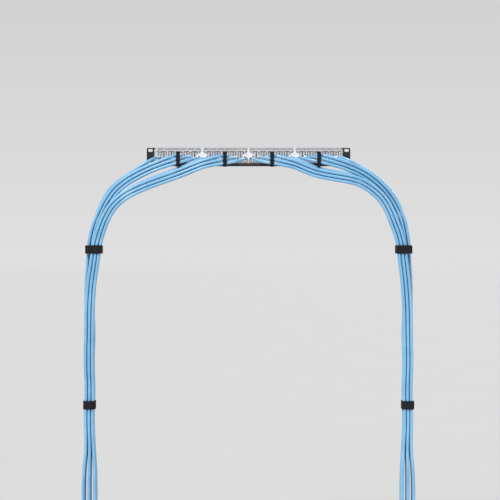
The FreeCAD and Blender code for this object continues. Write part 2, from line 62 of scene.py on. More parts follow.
# ---------------------------------------------------------------- camera and studio, in metres
CAMERA_PLACE = (0.0035, -4.025, -0.2203)
CAMERA_DISTANCE = 4.0
VIEW_WIDTH = 1.178           # what the picture spans at that distance
SENSOR_WIDTH = 36.0
SKY_LOW = 0.74               # strength of the surroundings at the horizon
SKY_HIGH = 0.4               # and overhead
LIGHTS = {                   # where each shines from, its strength and its softness in degrees
    "key": ((-1.3, -2.4, 2.9), 2.5, 16),
    "fill": ((2.4, -2.6, 1.0), 0.35, 50),
    "back": ((1.2, 3.0, 1.8), 0.9, 30),
}
FLOOR_DROP = 0.12
FLOOR_REACH = 60.0

# ---------------------------------------------------------------- jacks, in mm
PORT_PITCH = 18.1
PORT_Z = -5.0                # middle of the jacks
NOSE_HEIGHT = 15.6
SOCKET_ROOF = PORT_Z + 3.6
SOCKET_WIDTH = 11.8
CONTACTS = 8
CONTACT_PITCH = 1.02
CONTACT_WIRE = 0.19
COMB_RIB = 0.2
TONGUE = 0.32
COLLAR_RADIUS = 5.4
COLLAR_LENGTH = 6.0
COLLAR_RIBS = ((0.45, 0.4), (2.6, 0.32), (4.4, 0.32))      # distance from the end, wire radius
CAP_CHAMFER = 3.0
HINGE_PROUD = 0.32           # side hinges of a cap
WINDOW_LOW = 1.6             # terminal windows in the back of a cap
WINDOW_HIGH = 6.8
WINDOW_X = 2.75
WINDOW_HALF = 1.35
WINDOW_RIM = 0.25
SLOPE_X = 2.6                # slots in the sloping edges
SLOPE_HALF = 1.3
LATCH_HALF = 2.6             # latch tongue on top of a cap
SKIN = 0.05                  # half thickness of a dark sheet of painted shade that stands for an opening

# ---------------------------------------------------------------- print and rivets, in mm
PRINT_THICK = 0.06
PORT_NUMBER = 3.4            # heights of the numbers
CARD_NUMBER = 3.6
REAR_NUMBER = 4.2
CARD_MARGIN = 1.0
RULE_HALF = 0.1
REAR_BORDER = 0.9
REAR_FIELD = 0.08
REAR_NUMBER_X = 3.2
RIVET_INSET = 2.5
RIVET_HEIGHTS = (-14.0, 0.0, 14.0)
RIVET_RADIUS = 1.9
RIVET_RISE = 0.7
BRACKET_SHEET = 1.5
DOME = ((1.0, 0.0), (0.93, 0.4), (0.75, 0.72), (0.45, 0.92), (0.15, 1.0))

# ---------------------------------------------------------------- boots and plugs, in mm
BOOT_LENGTH = 16.0
BOOT_WIDTH = 10.6
BOOT_DEPTH = 8.6
BOOT_NECK = 4.05             # half width between the ribs
BOOT_RIBS = 5
RIB_START = 0.3
RIB_PITCH = 1.9
RIB_HALF_X = 4.9
RIB_HALF_Y = 4.28
PLUG_LENGTH = 21.5
PLUG_WIDTH = 11.6
PLUG_DEPTH = 8.0
SHELL_LENGTH = 12.5
SPRING_PROUD = 0.15
SPRING_HALF = 1.6
LATCH_X = 1.6
NOSE_INSET = 0.3
BLADE_HALF = 0.18

# ---------------------------------------------------------------- ties and straps, in mm
TIE_WALL = 1.5               # room that the solid keeps for the webbing
TIE_ROUND = 3.0
TIE_TAPE = 0.85
TIE_OVERLAP = 12             # steps that the tail runs on over its start
STRAP_WALL = 1.8
STRAP_ROUND = 3.5
STRAP_TAPE = 0.95
STRAP_OVERLAP = 16
LOOP_STEP = 1.2
CLIMB_STEPS = 8              # steps in which the tail climbs over its start
TAIL_STEPS = 4
TAIL_LIFT = 0.3
TAIL_TAPER = 0.16
TAPE_DRIFT = 0.12
TAPE_WAVE = 0.31

# ---------------------------------------------------------------- cables: facts and routes, in mm
CABLE_DIAMETER = 7.5
CABLE_PITCH = 8.0
CABLE_START = 40.5
END_SPREAD_X = 13.4
END_SPREAD_Y = 10.6
SPREAD_POINTS = 2
ARCH_START = 0               # points of the route between which the layers lie loose
ARCH_END = 6
ARCH_STAGGER = 0.22

# Middle line of each bundle, seen from behind: x and z, then the depth of its outer layer.
ROUTES = {
    1: [(-203, -21.6, -104), (-243, -37.7, -104), (-281, -57.2, -104), (-309, -79.6, -104),
        (-327, -105, -104), (-341, -135, -104), (-353, -167, -104), (-361, -203, -104),
        (-363, -240, -104), (-367, -290, -104), (-368, -350, -104), (-365, -415, -104),
        (-368, -480, -104), (-365, -545, -104), (-368, -610, -104), (-365, -675, -104),
        (-366.5, -735, -102), (-366.5, -800, -102)],
    2: [(-100, -19, -104), (-126, -28.5, -104), (-152, -38.2, -104), (-185, -50.5, -106),
        (-217.4, -62, -110), (-251, -76, -115), (-288, -96, -119), (-314, -119.6, -120),
        (-330.5, -148.8, -120), (-341, -177, -120), (-350, -208, -120), (-354, -245, -120),
        (-362, -295, -120), (-366, -352, -120), (-366.5, -415, -120), (-368, -480, -120),
        (-365, -545, -120), (-368, -610, -120), (-365, -675, -120), (-366.5, -735, -122.6),
        (-366.5, -800, -122.6)],
    3: [(100, -19, -104), (126, -29, -104), (152, -38.6, -104), (178, -45, -105.5),
        (206, -50, -109), (234, -55.5, -113), (263, -65.5, -117), (289.6, -83, -119),
        (309, -102, -120), (324, -127, -120), (336, -157.6, -120), (346, -184, -120),
        (353, -212, -120), (356, -246, -120), (362, -295, -120), (366, -352, -120),
        (366.5, -415, -120), (368, -480, -120), (365, -545, -120), (368, -610, -120),
        (365, -675, -120), (366.5, -735, -122.6), (366.5, -800, -122.6)],
    4: [(207, -18.5, -104), (243, -31, -104), (272, -44.5, -104), (300, -65.5, -104),
        (323.7, -91.3, -104), (341, -119.6, -104), (353, -150.8, -104), (359, -178, -104),
        (363, -206, -104), (364, -242, -104), (367, -290, -104), (368, -350, -104),
        (365, -415, -104), (368, -480, -104), (365, -545, -104), (368, -610, -104),
        (365, -675, -104), (366.5, -735, -102), (366.5, -800, -102)],
}
TURNS = {
    1: [(-101, -6), (-99.8, -1), (-98, 4), (-95.6, -8), (-95.2, -5), (-95.2, 0)],
    2: [(-101, -12), (-99.8, -5), (-98, 2), (-96, -9.5), (-95.2, -5), (-95.2, -5)],
}
TURNS[3] = TURNS[2]
TURNS[4] = TURNS[1]
JOINS = (1, 1, 2)            # the point of the bundle's line where each outboard cable joins


def outward(bundle):
    """-1 for a bundle that leaves to the left, +1 to the right."""
    return -1 if bundle <= GROUPS / 2 else 1


def port_x(group, port):
    return (group - (GROUPS + 1) / 2) * PORTS * PORT_PITCH + (port - (PORTS - 1) / 2) * PORT_PITCH


def stagger(k, layer):
    """Sideways shift, in pitches, that lets one layer of a loose arch lie over the other's gaps."""
    rise = min(1.0, max(0.0, (k - ARCH_START) / 2), max(0.0, (ARCH_END - k) / 2))
    return ARCH_STAGGER * rise * (1 if layer else -1)


def lane_points(bundle, lane, layer):
    """Points of one cable along its bundle: lane counts outward or upward, layer towards the panel."""
    side = outward(bundle)
    middle = ROUTES[bundle]
    points = []
    for k, (x, z, y) in enumerate(middle):
        before = middle[max(k - 1, 0)]
        after = middle[min(k + 1, len(middle) - 1)]
        along = Vector((after[0] - before[0], 0, after[1] - before[1])).normalized()
        if k < len(middle) - SPREAD_POINTS:
            across = Vector((-along.z, 0, along.x)) * side * CABLE_PITCH
            deep = CABLE_PITCH
        else:
            across = Vector((side, 0, 0)) * END_SPREAD_X
            deep = END_SPREAD_Y
        points.append(Vector((x, y + deep * layer, z)) + across * (lane + stagger(k, layer)))
    return points


def cable_points(bundle, rank):
    """Route of one cable; rank counts the ports of its group from the inboard end."""
    side = outward(bundle)
    port = rank if side > 0 else PORTS - 1 - rank
    x = port_x(bundle, port)
    half = PORTS // 2
    inboard = rank < half
    rest = lane_points(bundle, rank % half - 1, 0 if inboard else 1)
    if not inboard:
        rest = rest[JOINS[rank - half]:]
    turn = TURNS[bundle][rank]
    return [Vector((x, -CABLE_START, PORT_Z)), Vector((x, *turn))] + rest


# ---------------------------------------------------------------- shader maths
class Value:
    """A number socket that adds Math nodes as it is used in an expression."""

    def __init__(self, shader, link):
        self.shader = shader
        self.link = link

    def _math(self, operation, first, second):
        return self.shader.node("ShaderNodeMath", {"operation": operation}, {0: first, 1: second})

    def __add__(self, other):
        return self._math("ADD", self, other)

    __radd__ = __add__

    def __sub__(self, other):
        return self._math("SUBTRACT", self, other)

    def __mul__(self, other):
        return self._math("MULTIPLY", self, other)

    __rmul__ = __mul__


class Shader:
    """One material's node tree, with a Principled surface."""

    def __init__(self, name, **surface):
        self.material = bpy.data.materials.new(name)
        self.material.use_nodes = True
        self.tree = self.material.node_tree
        self.surface = self.tree.nodes["Principled BSDF"]
        for socket, value in surface.items():
            self.put(socket.replace("_", " "), value)

    def put(self, socket, value):
        """Sets a socket of the surface to a constant, or links it."""
        target = self.surface.inputs[socket]
        if isinstance(value, Value):
            self.tree.links.new(value.link, target)
        else:
            target.default_value = value

    def node(self, kind, settings=None, inputs=None, out=0):
        made = self.tree.nodes.new(kind)
        for name, value in (settings or {}).items():
            setattr(made, name, value)
        for name, value in (inputs or {}).items():
            if isinstance(value, Value):
                self.tree.links.new(value.link, made.inputs[name])
            else:
                made.inputs[name].default_value = value
        return Value(self, made.outputs[out])

    def place(self, stretch=(1, 1, 1)):
        """Position on the object in metres, stretched along each axis."""
        where = self.node("ShaderNodeTexCoord", out="Object")
        return self.node("ShaderNodeVectorMath", {"operation": "MULTIPLY"}, {0: where, 1: stretch})

    def noise(self, where, scale, detail=3.0, rough=0.55):
        return self.node("ShaderNodeTexNoise", inputs={
            "Vector": where, "Scale": scale, "Detail": detail, "Roughness": rough}, out="Fac")

    def grains(self, where, scale):
        return self.node("ShaderNodeTexVoronoi", inputs={"Vector": where, "Scale": scale}, out="Distance")

    def ramp(self, value, low, high, start=0.0, end=1.0):
        """value remapped from low..high to start..end, held at both ends."""
        return self.node("ShaderNodeMapRange", {"clamp": True}, {
            "Value": value, "From Min": low, "From Max": high, "To Min": start, "To Max": end})

    def blend(self, factor, first, second):
        """Mix of two colours."""
        return self.node("ShaderNodeMix", {"data_type": "RGBA"}, {
            "Factor": factor, 6: self.colour(first), 7: self.colour(second)}, out=2)

    def colour(self, value):
        return value if isinstance(value, Value) or len(value) == 4 else (*value, 1)

    def bump(self, height, strength, distance):
        normal = self.node("ShaderNodeBump", inputs={
            "Strength": strength, "Distance": distance, "Height": height})
        self.put("Normal", normal)

    def worn_edges(self, radius):
        """1 along sharp edges, 0 on flats."""
        bevel = self.node("ShaderNodeBevel", {"samples": 4}, {"Radius": radius})
        straight = self.node("ShaderNodeNewGeometry", out="Normal")
        cosine = self.node("ShaderNodeVectorMath", {"operation": "DOT_PRODUCT"},
                           {0: bevel, 1: straight}, out="Value")
        return self.ramp(cosine, 0.995, 0.9)


# ---------------------------------------------------------------- finishes
def powder_coat():
    """Fine-textured black powder coat, a little polished where hands and screws rub it."""
    s = Shader("black_powder_coat", Metallic=0.0, Specular_IOR_Level=0.45)
    where = s.place()
    orange_peel = s.noise(where, 900, 4)
    cloud = s.noise(where, 14, 2)
    worn = s.worn_edges(0.0007) * s.ramp(s.noise(where, 160, 4), 0.45, 0.62)
    base = s.blend(cloud, (0.009, 0.009, 0.01), (0.017, 0.017, 0.019))
    s.put("Base Color", s.blend(worn * 0.55, base, (0.2, 0.2, 0.21)))
    s.put("Roughness", s.ramp(cloud, 0.3, 0.7, 0.42, 0.56) + orange_peel * 0.08 - worn * 0.12)
    s.bump(orange_peel + s.grains(where, 1500) * 0.5, 0.35, 0.00012)
    return s.material


def sheet_steel(name, light, dark, rough, along):
    """Rolled zinc-plated sheet: drawn lines along one axis, soft stains and bright edges."""
    s = Shader(name, Metallic=1.0)
    stretch = [900.0, 900.0, 900.0]
    stretch[along] = 9.0
    lines = s.noise(s.place(stretch), 1.0, 4, 0.65)
    where = s.place()
    stain = s.noise(where, 24, 3)
    spangle = s.grains(where, 190)
    worn = s.worn_edges(0.0005)
    tone = s.ramp(lines, 0.25, 0.75) * 0.5 + s.ramp(stain, 0.3, 0.7) * 0.35 + spangle * 0.3
    s.put("Base Color", s.blend(worn * 0.6, s.blend(tone, dark, light), (0.9, 0.9, 0.91)))
    s.put("Roughness", s.ramp(lines, 0.2, 0.8, rough - 0.07, rough + 0.09) + stain * 0.06)
    s.bump(lines, 0.25, 0.00008)
    return s.material


def die_casting(name, light, dark, rough):
    """Nickel-plated casting: faint flow marks, a fine pebble and darker smudges."""
    s = Shader(name, Metallic=1.0)
    where = s.place()
    flow = s.noise(s.place((60, 200, 60)), 1.0, 3)
    pebble = s.noise(where, 1300, 3)
    smudge = s.noise(where, 70, 4)
    worn = s.worn_edges(0.0006)
    tone = s.ramp(flow, 0.3, 0.7) * 0.6 + s.ramp(smudge, 0.35, 0.65) * 0.4
    s.put("Base Color", s.blend(worn * 0.5, s.blend(tone, dark, light), (0.97, 0.97, 0.98)))
    s.put("Roughness", s.ramp(smudge, 0.3, 0.7, rough, rough + 0.14) + pebble * 0.05)
    s.bump(pebble * 0.5 + flow, 0.22, 0.0001)
    return s.material


def moulded(name, light, dark, rough, grain=1400.0, **surface):
    """Injection-moulded plastic: fine spark-eroded grain, slightly shinier on its edges."""
    s = Shader(name, **surface)
    where = s.place()
    texture = s.noise(where, grain, 3)
    cloud = s.noise(where, 35, 3)
    worn = s.worn_edges(0.0005)
    s.put("Base Color", s.blend(s.ramp(cloud, 0.3, 0.7), dark, light))
    s.put("Roughness", s.ramp(cloud, 0.3, 0.7, rough - 0.05, rough + 0.06)
          + texture * 0.07 - worn * 0.1)
    s.bump(texture, 0.2, 0.00008)
    return s.material


def clear_plastic():
    """Clear polycarbonate with faint scuffs."""
    s = Shader("clear_polycarbonate", Metallic=0.0, IOR=1.58, Transmission_Weight=0.0)
    where = s.place()
    scuff = s.noise(s.place((90, 600, 900)), 1.0, 4)
    rim = s.worn_edges(0.0006)
    haze = s.ramp(scuff, 0.55, 0.75)
    s.put("Base Color", s.blend(rim, (0.82, 0.88, 0.9), (0.93, 0.96, 0.97)))
    s.put("Alpha", s.ramp(haze, 0.0, 1.0, 0.16, 0.24) + rim * 0.3)
    s.put("Roughness", haze * 0.2 + 0.06)
    s.bump(s.noise(where, 300, 2), 0.05, 0.00005)
    return s.material


def card_stock(name, light, dark):
    """Matt label stock with paper fibre."""
    s = Shader(name, Metallic=0.0)
    where = s.place()
    fibre = s.noise(s.place((700, 700, 2200)), 1.0, 4, 0.7)
    cloud = s.noise(where, 60, 3)
    s.put("Base Color", s.blend(s.ramp(fibre * 0.5 + cloud * 0.5, 0.35, 0.65), dark, light))
    s.put("Roughness", s.ramp(fibre, 0.2, 0.8, 0.62, 0.8))
    s.bump(fibre, 0.2, 0.00005)
    return s.material


def cable_jacket():
    """Sky-blue jacket: handling smudges, the wires' faint lumps, a soft gloss, and painted shade where
    cables touch.
    """
    s = Shader("cable_jacket_blue", Metallic=0.0, Specular_IOR_Level=0.5, Coat_Roughness=0.2)
    where = s.place()
    smudge = s.noise(where, 26, 4)
    patch = s.noise(where, 6, 2)
    grain = s.noise(where, 700, 3)
    pairs = s.noise(where, 75, 2)
    tone = s.ramp(smudge * 0.6 + patch * 0.4, 0.35, 0.65)
    # painted shade: ambient occlusion darkens the jacket colour towards navy where cables touch
    painted_touch_shade = s.node("ShaderNodeAmbientOcclusion", {"samples": 8}, {"Distance": 0.006}, out="AO")
    clean = s.blend(tone, (0.15, 0.4, 0.66), (0.25, 0.54, 0.8))
    s.put("Base Color", s.blend(s.ramp(painted_touch_shade, 0.2, 0.75), (0.012, 0.05, 0.11), clean))
    s.put("Roughness", s.ramp(smudge, 0.3, 0.7, 0.28, 0.42) + grain * 0.05)
    s.put("Coat Weight", s.ramp(smudge, 0.3, 0.7, 0.5, 0.25))
    s.bump(pairs + grain * 0.12, 0.3, 0.0004)
    return s.material


def moulded_boot():
    """Darker blue soft moulding with a fine matt grain."""
    s = Shader("blue_boot_rubber", Metallic=0.0)
    where = s.place()
    grain = s.noise(where, 1100, 3)
    cloud = s.noise(where, 50, 3)
    s.put("Base Color", s.blend(s.ramp(cloud, 0.3, 0.7), (0.06, 0.26, 0.55), (0.1, 0.35, 0.66)))
    s.put("Roughness", s.ramp(cloud, 0.3, 0.7, 0.45, 0.58) + grain * 0.06)
    s.bump(grain, 0.25, 0.0001)
    return s.material


def hook_and_loop():
    """Black napped webbing: a field of tiny loops over a woven ground, fuzzy and matt."""
    s = Shader("black_hook_and_loop", Metallic=0.0, Specular_IOR_Level=0.15, Sheen_Weight=0.05,
               Sheen_Roughness=0.6)
    where = s.place()
    loops = s.grains(where, 1100)
    nap = s.noise(where, 420, 5, 0.7)
    lint = s.ramp(s.noise(where, 1500, 3), 0.6, 0.7)
    base = s.blend(s.ramp(nap, 0.3, 0.7), (0.004, 0.004, 0.005), (0.015, 0.015, 0.018))
    pale = lint * 0.4 + s.ramp(loops, 0.5, 0.1) * 0.15
    s.put("Base Color", s.blend(pale, base, (0.11, 0.11, 0.12)))
    s.put("Roughness", s.ramp(nap, 0.3, 0.7, 0.82, 0.95))
    s.bump(loops + nap * 0.7, 0.8, 0.0006)
    return s.material


def gold_contact():
    """Gold plating with wipe marks along each wire."""
    s = Shader("gold_contact", Metallic=1.0)
    where = s.place()
    wipe = s.noise(s.place((900, 60, 900)), 1.0, 3)
    s.put("Base Color", s.blend(s.ramp(wipe, 0.3, 0.7), (0.72, 0.46, 0.13), (0.92, 0.67, 0.27)))
    s.put("Roughness", s.ramp(s.noise(where, 300, 3), 0.3, 0.7, 0.16, 0.3))
    s.bump(wipe, 0.15, 0.00004)
    return s.material


def printed_ink(name, light, dark):
    """Thin print with a little speckle."""
    s = Shader(name, Metallic=0.0)
    speck = s.noise(s.place(), 1800, 3)
    s.put("Base Color", s.blend(s.ramp(speck, 0.4, 0.7), dark, light))
    s.put("Roughness", s.ramp(speck, 0.3, 0.7, 0.5, 0.66))
    s.bump(speck, 0.15, 0.00003)
    return s.material


FINISH = {
    "plate": powder_coat(),
    "housing": sheet_steel("zinc_sheet", (0.66, 0.66, 0.66), (0.42, 0.42, 0.425), 0.4, 0),
    "screw": die_casting("bright_zinc_screw", (0.72, 0.73, 0.75), (0.5, 0.51, 0.53), 0.24),
    "jack": die_casting("nickel_jack", (0.8, 0.81, 0.83), (0.5, 0.52, 0.55), 0.2),
    "cap": die_casting("nickel_cap", (0.97, 0.97, 0.98), (0.78, 0.79, 0.83), 0.2),
    "bezel": moulded("black_bezel", (0.022, 0.022, 0.024), (0.01, 0.01, 0.011), 0.45),
    "block": moulded("contact_carrier", (0.03, 0.03, 0.032), (0.015, 0.015, 0.016), 0.5),
    "white": moulded("white_post", (0.86, 0.87, 0.87), (0.76, 0.77, 0.78), 0.34, grain=900.0),
    "holder": moulded("label_holder_black", (0.026, 0.026, 0.028), (0.012, 0.012, 0.013), 0.42),
    "clear": clear_plastic(),
    "card": card_stock("label_card", (0.84, 0.84, 0.81), (0.7, 0.7, 0.67)),
    "rear_border": card_stock("rear_label_white", (0.83, 0.84, 0.84), (0.7, 0.71, 0.72)),
    "rear_field": card_stock("rear_label_grey", (0.42, 0.425, 0.43), (0.33, 0.335, 0.345)),
    "jacket": cable_jacket(),
    "boot": moulded_boot(),
    "webbing": hook_and_loop(),
    "gold": gold_contact(),
    "ink": printed_ink("black_ink", (0.05, 0.05, 0.055), (0.012, 0.012, 0.014)),
    "white_ink": printed_ink("white_ink", (0.8, 0.8, 0.8), (0.6, 0.6, 0.6)),
    "plug": moulded("plug_polycarbonate", (0.66, 0.7, 0.72), (0.5, 0.54, 0.57), 0.16, grain=300.0),
    "shield": die_casting("plug_shield", (0.82, 0.83, 0.84), (0.55, 0.56, 0.58), 0.22),
    "seal": moulded("black_seal_rubber", (0.03, 0.03, 0.032), (0.012, 0.012, 0.014), 0.7),
    # painted shade: near-black finish for the sheets that stand for openings in the caps
    "shadow": moulded("painted_opening_shade", (0.014, 0.014, 0.016), (0.007, 0.007, 0.008), 0.6),
}

NODE_FINISH = {
    "front_plate": "plate", "rear_rail": "housing", "lower_shelf": "housing",
    "side_bracket_left": "housing", "side_bracket_right": "housing", "cable_bar": "plate",
    "bar_screws": "screw",
    "contact_blocks": "block", "port_bezel": "bezel", "jack_housings": "jack",
    "jack_caps": "cap", "module_post": "white", "label_holder": "holder",
    "label_cover": "clear", "label_card": "card", "rear_label": "rear_border",
}


def finish_node(name, finish):
    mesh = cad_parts[name].data
    if mesh.materials:
        for k in range(len(mesh.materials)):
            mesh.materials[k] = FINISH[finish]
    else:
        mesh.materials.append(FINISH[finish])


for node_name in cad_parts:
    stem = node_name.rstrip("1234").rstrip("_")
    if stem in NODE_FINISH:
        finish_node(node_name, NODE_FINISH[stem])
    elif node_name in NODE_FINISH:
        finish_node(node_name, NODE_FINISH[node_name])


# ---------------------------------------------------------------- mesh making
def piece(name, mesh, finish, body):
    """A mesh as an object of the scene that rides on a body."""
    made = bpy.data.objects.new(name, mesh)
    bpy.context.collection.objects.link(made)
    if not mesh.materials:
        mesh.materials.append(FINISH[finish])
    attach(made, body)
    return made


def piece_from(name, bm, finish, body, smooth=40.0):
    mesh = bpy.data.meshes.new(name)
    bm.normal_update()
    bm.to_mesh(mesh)
    bm.free()
    mesh.shade_smooth()
    mesh.set_sharp_from_angle(angle=math.radians(smooth))
    return piece(name, mesh, finish, body)


def add_box(bm, low, high, bevel=0.0, segments=2, tilt=0.0):
    """A box in mm with rounded edges, tilted about the X axis through its middle by an angle in degrees."""
    low, high = Vector(low), Vector(high)
    place = (Matrix.Translation((low + high) / 2 * MM) @ Matrix.Rotation(math.radians(tilt), 4, "X")
             @ Matrix.Diagonal(((high - low) * MM).to_4d()))
    made = bmesh.ops.create_cube(bm, size=1.0, matrix=place)
    if bevel:
        edges = list({e for v in made["verts"] for e in v.link_edges})
        made = bmesh.ops.bevel(bm, geom=edges, offset=bevel * MM, segments=segments,
                               profile=0.5, affect="EDGES", clamp_overlap=True)
    return made["verts"]


def add_tube(bm, path, radius, sides=12):
    """A closed round tube through points in mm."""
    path = [Vector(p) * MM for p in path]
    rings = []
    for k, point in enumerate(path):
        along = (path[min(k + 1, len(path) - 1)] - path[max(k - 1, 0)]).normalized()
        turn = Vector((0, 0, 1)).rotation_difference(along)
        ring = [turn @ Vector((math.cos(a), math.sin(a), 0)) * radius * MM + point
                for a in (2 * math.pi * n / sides for n in range(sides))]
        rings.append([bm.verts.new(v) for v in ring])
    for low, high in zip(rings, rings[1:]):
        for n in range(sides):
            bm.faces.new([low[n], low[(n + 1) % sides], high[(n + 1) % sides], high[n]])
    bm.faces.new(list(reversed(rings[0])))
    bm.faces.new(rings[-1])


def add_ring(bm, centre, radius, wire, axis=1, turns=36, sides=8):
    """A torus in mm about one axis."""
    centre = Vector(centre)
    a, b = [k for k in range(3) if k != axis]
    rings = []
    for n in range(turns):
        angle = 2 * math.pi * n / turns
        ring = []
        for m in range(sides):
            tilt = 2 * math.pi * m / sides
            out = radius + wire * math.cos(tilt)
            point = centre.copy()
            point[a] += out * math.cos(angle)
            point[b] += out * math.sin(angle)
            point[axis] += wire * math.sin(tilt)
            ring.append(bm.verts.new(point * MM))
        rings.append(ring)
    for n in range(turns):
        low, high = rings[n], rings[(n + 1) % turns]
        for m in range(sides):
            bm.faces.new([low[m], low[(m + 1) % sides], high[(m + 1) % sides], high[m]])
    bmesh.ops.recalc_face_normals(bm, faces=bm.faces)


def corners(node):
    """A node's low and high corners in mm."""
    low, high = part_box(node)
    return Vector(low) / MM, Vector(high) / MM


# ---------------------------------------------------------------- stage, light and camera
def camera():
    """Level, square to the rear, with the panel in the upper third of the frame."""
    data = bpy.data.cameras.new("camera")
    data.sensor_width = SENSOR_WIDTH
    data.lens = SENSOR_WIDTH * CAMERA_DISTANCE / VIEW_WIDTH
    data.clip_start = 0.05
    data.clip_end = FLOOR_REACH
    cam = bpy.data.objects.new("camera", data)
    cam.location = CAMERA_PLACE
    cam.rotation_euler = (math.pi / 2, 0, 0)
    bpy.context.collection.objects.link(cam)
    bpy.context.scene.camera = cam


def wide_light(name, place, strength, angle):
    """Even light from the direction of a place, softened over an angle in degrees."""
    data = bpy.data.lights.new(name, "SUN")
    data.energy = strength
    data.angle = math.radians(angle)
    light = bpy.data.objects.new(name, data)
    light.location = place
    light.rotation_euler = Vector(place).to_track_quat("Z", "Y").to_euler()
    bpy.context.collection.objects.link(light)


def studio():
    """Pale surroundings, a soft key from the upper left with a fill and a back light, a pale floor."""
    world = bpy.data.worlds.new("studio")
    world.use_nodes = True
    tree = world.node_tree
    where = tree.nodes.new("ShaderNodeTexCoord")
    height = tree.nodes.new("ShaderNodeSeparateXYZ")
    fade = tree.nodes.new("ShaderNodeMapRange")
    fade.inputs["From Max"].default_value = 0.5
    fade.inputs["To Min"].default_value = SKY_LOW
    fade.inputs["To Max"].default_value = SKY_HIGH
    tree.links.new(where.outputs["Generated"], height.inputs[0])
    tree.links.new(height.outputs["Z"], fade.inputs["Value"])
    tree.links.new(fade.outputs[0], tree.nodes["Background"].inputs["Strength"])
    tree.nodes["Background"].inputs["Color"].default_value = (1, 1, 1, 1)
    bpy.context.scene.world = world
    bpy.context.scene.view_settings.view_transform = "Standard"
    for name, (place, strength, angle) in LIGHTS.items():
        wide_light(name, place, strength, angle)
    bm = bmesh.new()
    bmesh.ops.create_grid(bm, x_segments=1, y_segments=1, size=FLOOR_REACH,
                          matrix=Matrix.Translation((0, 0, CAD_BOX[0][2] - FLOOR_DROP)))
    mesh = bpy.data.meshes.new("floor")
    bm.to_mesh(mesh)
    bm.free()
    s = Shader("pale_floor", Roughness=0.95, Specular_IOR_Level=0.1)
    s.put("Base Color", s.blend(s.noise(s.place(), 3.0), (0.59, 0.59, 0.59), (0.62, 0.62, 0.62)))
    mesh.materials.append(s.material)
    floor = bpy.data.objects.new("floor", mesh)
    bpy.context.collection.objects.link(floor)


# ---------------------------------------------------------------- cables, boots and plugs
def cable_curve(name, points):
    """One cable as a round smooth curve along its route."""
    data = bpy.data.curves.new(name, "CURVE")
    data.dimensions = "3D"
    data.resolution_u = 8
    data.bevel_depth = CABLE_DIAMETER / 2 * MM
    data.bevel_resolution = 5
    data.use_fill_caps = True
    spline = data.splines.new("NURBS")
    spline.points.add(len(points) - 1)
    for control, point in zip(spline.points, points):
        control.co = (*(point * MM), 1)
    spline.order_u = 3
    spline.use_endpoint_u = True
    data.materials.append(FINISH["jacket"])
    made = bpy.data.objects.new(name, data)
    bpy.context.collection.objects.link(made)
    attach(made, PANEL)
    return made


def rounded_section(half_x, half_y, radius, steps=4):
    """Outline of a rounded rectangle, anticlockwise, in mm."""
    outline = []
    for sx, sy, start in ((1, 1, 0), (-1, 1, 90), (-1, -1, 180), (1, -1, 270)):
        for k in range(steps + 1):
            angle = math.radians(start + 90 * k / steps)
            outline.append((sx * (half_x - radius) + radius * math.cos(angle),
                            sy * (half_y - radius) + radius * math.sin(angle)))
    return outline


def cable_boot(name, end, node):
    """Ribbed strain-relief boot, round where it grips the cable and square at the plug."""
    bm = bmesh.new()
    sections = []
    for k in range(BOOT_RIBS):
        depth = RIB_START + k * RIB_PITCH
        sections += [(depth, BOOT_NECK, BOOT_NECK, 3.9), (depth + 0.35, RIB_HALF_X, RIB_HALF_Y, 4.1),
                     (depth + 1.15, RIB_HALF_X, RIB_HALF_Y, 4.1), (depth + 1.5, BOOT_NECK, BOOT_NECK, 3.9)]
    sections += [(10.0, 4.6, 4.2, 2.4), (11.2, BOOT_WIDTH / 2, BOOT_DEPTH / 2, 1.3),
                 (BOOT_LENGTH, BOOT_WIDTH / 2, BOOT_DEPTH / 2, 1.0)]
    rings = []
    for depth, half_x, half_y, radius in sections:
        outline = rounded_section(half_x, half_y, min(radius, half_x - 0.05, half_y - 0.05))
        rings.append([bm.verts.new(Vector((end.x + u, end.y + v, end.z - depth)) * MM)
                      for u, v in outline])
    count = len(rings[0])
    for low, high in zip(rings, rings[1:]):
        for k in range(count):
            bm.faces.new([low[k], low[(k + 1) % count], high[(k + 1) % count], high[k]])
    bm.faces.new(list(reversed(rings[0])))
    bm.faces.new(rings[-1])
    bmesh.ops.recalc_face_normals(bm, faces=bm.faces)
    made = piece_from(name, bm, "boot", PANEL, 35)
    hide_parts(node)
    return made


